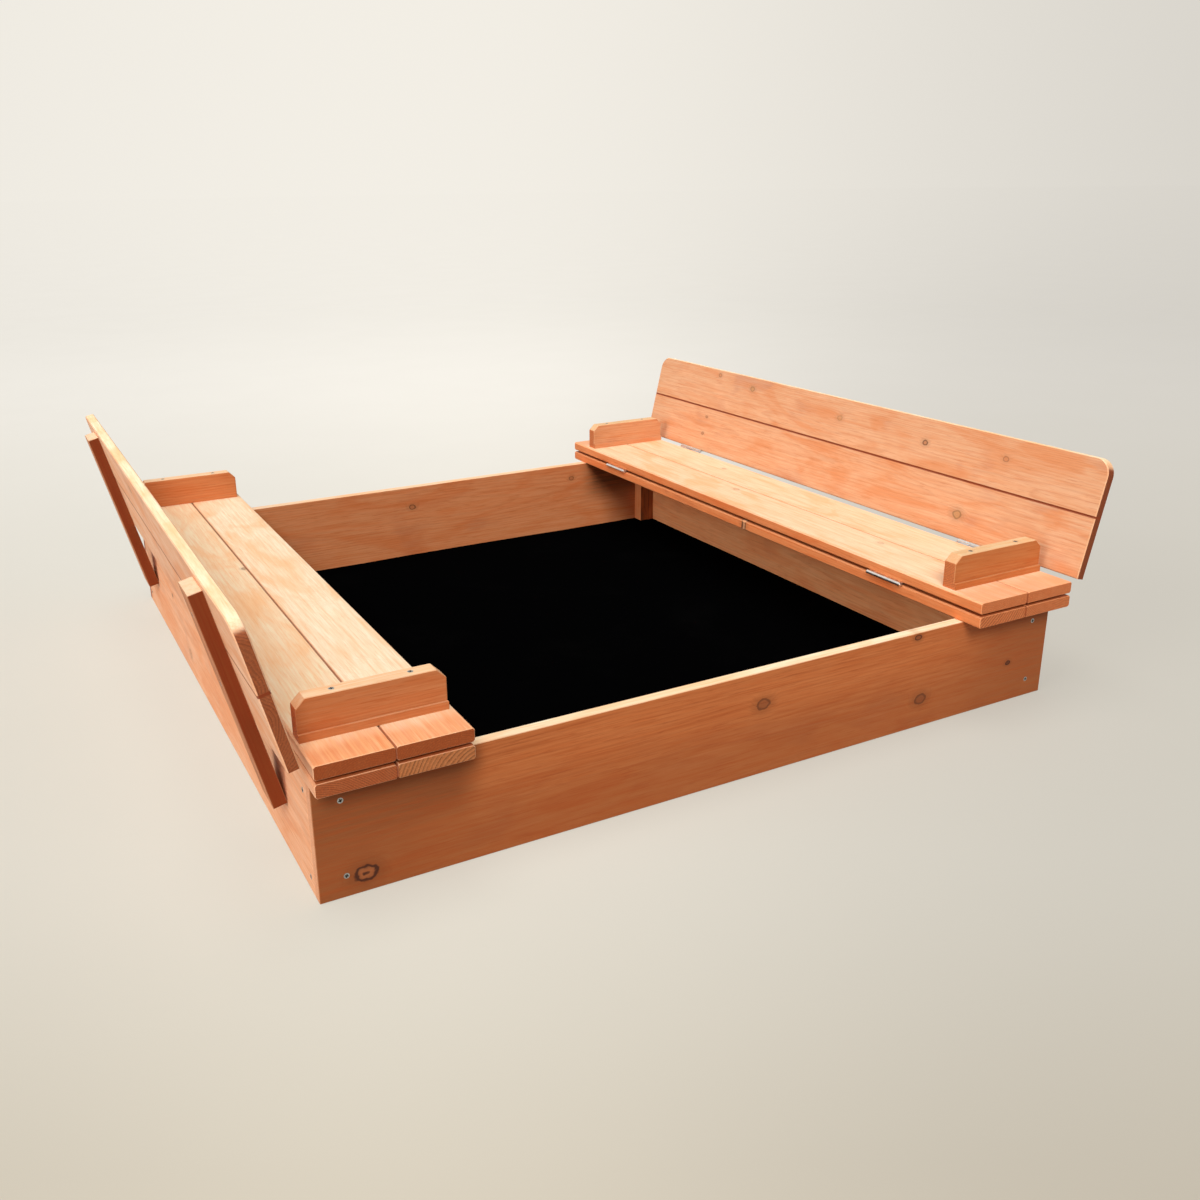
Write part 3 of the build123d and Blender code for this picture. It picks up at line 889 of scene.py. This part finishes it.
def liner_cloth():
    """Black non-woven fabric: felted fibres, a faint press pattern, a little dust."""
    shader = Shader("black_ground_cloth")
    place = shader.node("TexCoord").outputs["Object"]
    fibres = shader.noise(place, (900.0, 1400.0, 900.0), 4.0, 0.7, 1.5)
    dust = shader.noise(place, (5.0, 5.0, 5.0), 4.0, 0.6)
    cells = shader.node("TexVoronoi", feature="F1")
    shader.feed(cells.inputs["Vector"], shader.vector("MULTIPLY", place, (420.0, 420.0, 420.0)))
    cells.inputs["Scale"].default_value = 1.0
    dimple = shader.step(cells.outputs["Distance"], 0.15, 0.45)
    colour = shader.mix(shader.step(fibres, 0.4, 0.75), *FELT)
    colour = shader.mix(shader.step(dust, 0.5, 0.85, 0.0, 0.12), colour, FELT_DUST)
    rough = shader.step(fibres, 0.2, 0.8, 0.9, 1.0)
    shader.set(Base_Color=colour, Roughness=rough, Specular_IOR_Level=0.0)
    shader.bump(shader.add(fibres, shader.times(dimple, 0.6)), 0.3 * MM, 0.5)
    return shader.material


def wrinkle(x, y):
    """Height of the sheet above the ground: long soft folds, small ripples and two creases."""
    folds = smooth_noise.noise(Vector((x * 3.1 + 0.6 * y, y * 2.3 - 0.4 * x, 4.2)))
    ripples = smooth_noise.noise(Vector((x * 11.0, y * 9.0 + x * 3.0, 9.1)))
    crease = math.exp(-((y - 0.35 * x + 0.12) / 0.012) ** 2) * 0.5
    crease += math.exp(-((x + 0.22 * y - 0.19) / 0.010) ** 2) * 0.4
    return (1.9 + 1.5 * folds + 0.5 * ripples + 0.6 * crease) * MM


def axis_cuts(low, high, notch):
    """Grid lines from low to high, the first and last cell as wide as the notch."""
    start, stop = low + notch, high - notch
    inner = [start + (stop - start) * k / LINER_CELLS for k in range(LINER_CELLS + 1)]
    return [low] + inner + [high]


def notched_sheet(cuts_x, cuts_y):
    """A wrinkled grid without its four corner cells."""
    shape = bmesh.new()
    grid = {}

    def corner(i, j):
        if (i, j) not in grid:
            x, y = cuts_x[i], cuts_y[j]
            grid[i, j] = shape.verts.new((x, y, wrinkle(x, y)))
        return grid[i, j]

    last_i, last_j = len(cuts_x) - 2, len(cuts_y) - 2
    for i in range(last_i + 1):
        for j in range(last_j + 1):
            if i in (0, last_i) and j in (0, last_j):
                continue
            around = ((i, j), (i + 1, j), (i + 1, j + 1), (i, j + 1))
            shape.faces.new([corner(*place) for place in around])
    return shape


def make_liner():
    """The sheet lies in the box and is notched around the four posts."""
    low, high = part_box("ground_liner")
    post_low, post_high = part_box("corner_post_front_right")
    notch_x = high.x - post_low.x + NOTCH_CLEARANCE
    notch_y = high.y + post_high.y + NOTCH_CLEARANCE
    shape = notched_sheet(axis_cuts(low.x, high.x, notch_x), axis_cuts(low.y, high.y, notch_y))
    mesh = to_mesh("ground_cloth", shape, (liner_cloth(),))
    for face in mesh.polygons:
        face.use_smooth = True
    cloth = linked_object("ground_cloth", mesh)
    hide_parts("ground_liner")
    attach(cloth, "box")


# ---- floor, light and camera ----
HEADING = math.radians(27.61)  # the studio faces this far to the right of the back wall
VIEW_RIGHT = Vector((math.cos(HEADING), -math.sin(HEADING), 0.0))
VIEW_AHEAD = Vector((math.sin(HEADING), math.cos(HEADING), 0.0))

# Stops of the gradients across the studio, painted light and shade: brighter in the middle than at
# the sides. Position from 0 on the left to 1, and colour.
BACKDROP = (
    (0.22, (0.822, 0.79, 0.724)),
    (0.49, (0.96, 0.92, 0.84)),
    (0.74, (0.641, 0.613, 0.56)),
)
FLOOR = (
    (0.175, (0.80, 0.77, 0.705)),
    (0.44, (0.945, 0.905, 0.825)),
    (0.74, (0.715, 0.685, 0.63)),
)
# The floor's gradient is narrowest at a waist in front of the box, in metres along VIEW_AHEAD.
WAIST = -1.17
WAIST_WIDTH = 0.66
WIDENING = 0.9  # for each metre away from the waist
FLOOR_DEPTH = (0.83, 0.82, 0.78)  # painted shade: what the floor near the box multiplies its gradient by
FRONT_TINT = (0.80, 0.72, 0.61)  # painted shade: the same again for the foreground
FLOOR_DUST = (0.45, 0.42, 0.36)
FLOOR_BOUNCE = (0.32, 0.305, 0.28)  # what light meets instead of the colour that the eye sees
FLOOR_RADIUS = 60.0
FLOOR_DROP = 0.5 * MM  # below the walls' undersides, so that the faces don't meet
WORLD_STRENGTH = 0.27


def gradient(shader, across, stops):
    """A soft gradient across the studio, from -1 on the left to 1 on the right."""
    ramp = shader.node("ValToRGB")
    shader.feed(ramp.inputs["Fac"], shader.math("MULTIPLY_ADD", across, 0.5, 0.5))
    ramp.color_ramp.interpolation = "B_SPLINE"
    ramp.color_ramp.elements.new(0.5)  # the third stop: a ramp starts with two
    for stop, (position, colour) in zip(ramp.color_ramp.elements, stops):
        stop.position = position
        stop.color = (*colour, 1)
    return ramp.outputs["Color"]


def backdrop_colour(shader, direction):
    return gradient(shader, shader.dot(direction, VIEW_RIGHT), BACKDROP)


def looked_at(shader):
    """1 for the eye, and for what mirrors and glass show it; 0 for light."""
    path = shader.node("LightPath").outputs
    seen = shader.math("MAXIMUM", path["Is Camera Ray"], path["Is Glossy Ray"])
    return shader.math("MAXIMUM", seen, path["Is Transmission Ray"])


def mixed_shader(shader, share, first, second, output):
    """Sends a blend of two shader outputs to the tree's output node."""
    mix = shader.node("MixShader")
    for socket, value in zip(mix.inputs, (share, first, second)):
        shader.feed(socket, value)
    shader.feed(output.inputs["Surface"], mix.outputs[0])


def make_world():
    """Plain white light all round; the eye, mirrors and glass see the pale backdrop instead."""
    world = bpy.data.worlds.new("studio")
    bpy.context.scene.world = world
    world.use_nodes = True
    world.node_tree.nodes.clear()
    shader = Nodes(world.node_tree)
    coordinates = shader.node("TexCoord")
    seen = shader.node("Background")
    shader.feed(seen.inputs["Color"], backdrop_colour(shader, coordinates.outputs["Generated"]))
    light = shader.node("Background")
    light.inputs["Color"].default_value = (*WHITE, 1)
    light.inputs["Strength"].default_value = WORLD_STRENGTH
    output = shader.node("OutputWorld")
    mixed_shader(shader, looked_at(shader), light.outputs[0], seen.outputs[0], output)


def floor_colour(shader, place, distance):
    """Pale, with painted shade that makes it darker and warmer in front, and melting into the
    backdrop far away.
    """
    ahead = shader.dot(place, VIEW_AHEAD)
    to_right = shader.dot(place, VIEW_RIGHT)
    from_waist = shader.absolute(shader.minus(ahead, WAIST))
    width = shader.math("MULTIPLY_ADD", from_waist, WIDENING, WAIST_WIDTH)
    colour = gradient(shader, shader.math("DIVIDE", to_right, width), FLOOR)
    colour = shader.mix(1.0, colour, FLOOR_DEPTH, "MULTIPLY")

    behind = shader.step(ahead, -1.75, -0.65)
    beyond = shader.math("MAXIMUM", behind, shader.step(distance, 1.3, 3.0))
    colour = shader.mix(1.0, colour, shader.mix(beyond, FRONT_TINT, WHITE), "MULTIPLY")

    far = backdrop_colour(shader, shader.vector("NORMALIZE", place))
    behind = shader.step(ahead, -1.2, 3.2)
    away = shader.math("MAXIMUM", behind, shader.step(distance, 1.3, 4.5))
    colour = shader.mix(away, colour, far)
    mottle = shader.noise(place, (3.0, 3.0, 3.0), 4.0, 0.6)
    return shader.mix(shader.step(mottle, 0.3, 0.7, 0.0, 0.02), colour, FLOOR_DUST)


def floor_material():
    """Pale matt floor.

    It sends less light back up than it shows to the eye, so the shade under the benches stays
    deep, and part of what the eye sees of it doesn't take the orange light off the wood.
    """
    shader = Shader("pale_floor")
    place = shader.node("TexCoord").outputs["Object"]
    distance = shader.vector("LENGTH", place)
    colour = floor_colour(shader, place, distance)
    eye = looked_at(shader)
    lit = shader.mix(eye, FLOOR_BOUNCE, colour)
    shader.set(Base_Color=lit, Roughness=0.9, Specular_IOR_Level=0.0)
    glow = shader.node("Emission")
    shader.feed(glow.inputs["Color"], colour)
    share = shader.times(shader.step(distance, 1.5, 6.0, 0.6, 1.0), eye)
    output = shader.tree.nodes["Material Output"]
    mixed_shader(shader, share, shader.surface.outputs[0], glow.outputs[0], output)
    return shader.material


def make_floor():
    """A wide round floor that keeps the object's shadow."""
    shape = bmesh.new()
    bmesh.ops.create_circle(shape, cap_ends=True, segments=96, radius=FLOOR_RADIUS)
    floor = linked_object("studio_floor", to_mesh("studio_floor", shape, (floor_material(),)))
    floor.location.z = -FLOOR_DROP


# Each lamp: the direction towards it, its strength and its breadth in degrees.
LAMPS = {
    "key_overhead": ((-0.10, 0.10, 0.99), 1.03, 34.0),
    "fill_front": ((-0.38, -0.66, 0.65), 2.20, 24.0),
    "fill_left": ((-0.93, -0.12, 0.34), 1.35, 34.0),
}


def make_lamps():
    """A broad overhead key with a low soft fill from the front and one from the left."""
    for name, (towards, energy, breadth) in LAMPS.items():
        light = bpy.data.lights.new(name, "SUN")
        light.energy = energy
        light.angle = math.radians(breadth)
        lamp = linked_object(name, light)
        lamp.rotation_euler = Vector(towards).to_track_quat("Z", "Y").to_euler()


CAMERA_PLACE = (-0.8572, -1.7199, 0.7923)
CAMERA_DIP = math.radians(18.79)  # below the horizon
CAMERA_ROLL = math.radians(-0.82)
SENSOR = 36.0  # mm, as is the lens
LENS = 34.33
SHIFT = (0.0301, -0.0288)


def make_camera():
    data = bpy.data.cameras.new("camera")
    data.sensor_width = SENSOR
    data.lens = LENS
    data.shift_x, data.shift_y = SHIFT
    data.clip_end = 200.0
    camera = linked_object("camera", data)
    camera.location = CAMERA_PLACE
    heading = Euler((0, 0, -HEADING)).to_matrix()
    tilt = Euler((math.radians(90.0) - CAMERA_DIP, 0, 0)).to_matrix()
    roll = Euler((0, 0, CAMERA_ROLL)).to_matrix()
    camera.rotation_euler = (heading @ tilt @ roll).to_euler()
    bpy.context.scene.camera = camera


paint_walls()
paint_posts()
paint_bench("left", -1, 30.0)
paint_bench("right", 1, 10.0)
paint_hinges()
make_screws()
make_hinge_screws()
make_liner()
make_world()
make_floor()
make_lamps()
make_camera()
bpy.context.scene.view_settings.view_transform = "Standard"
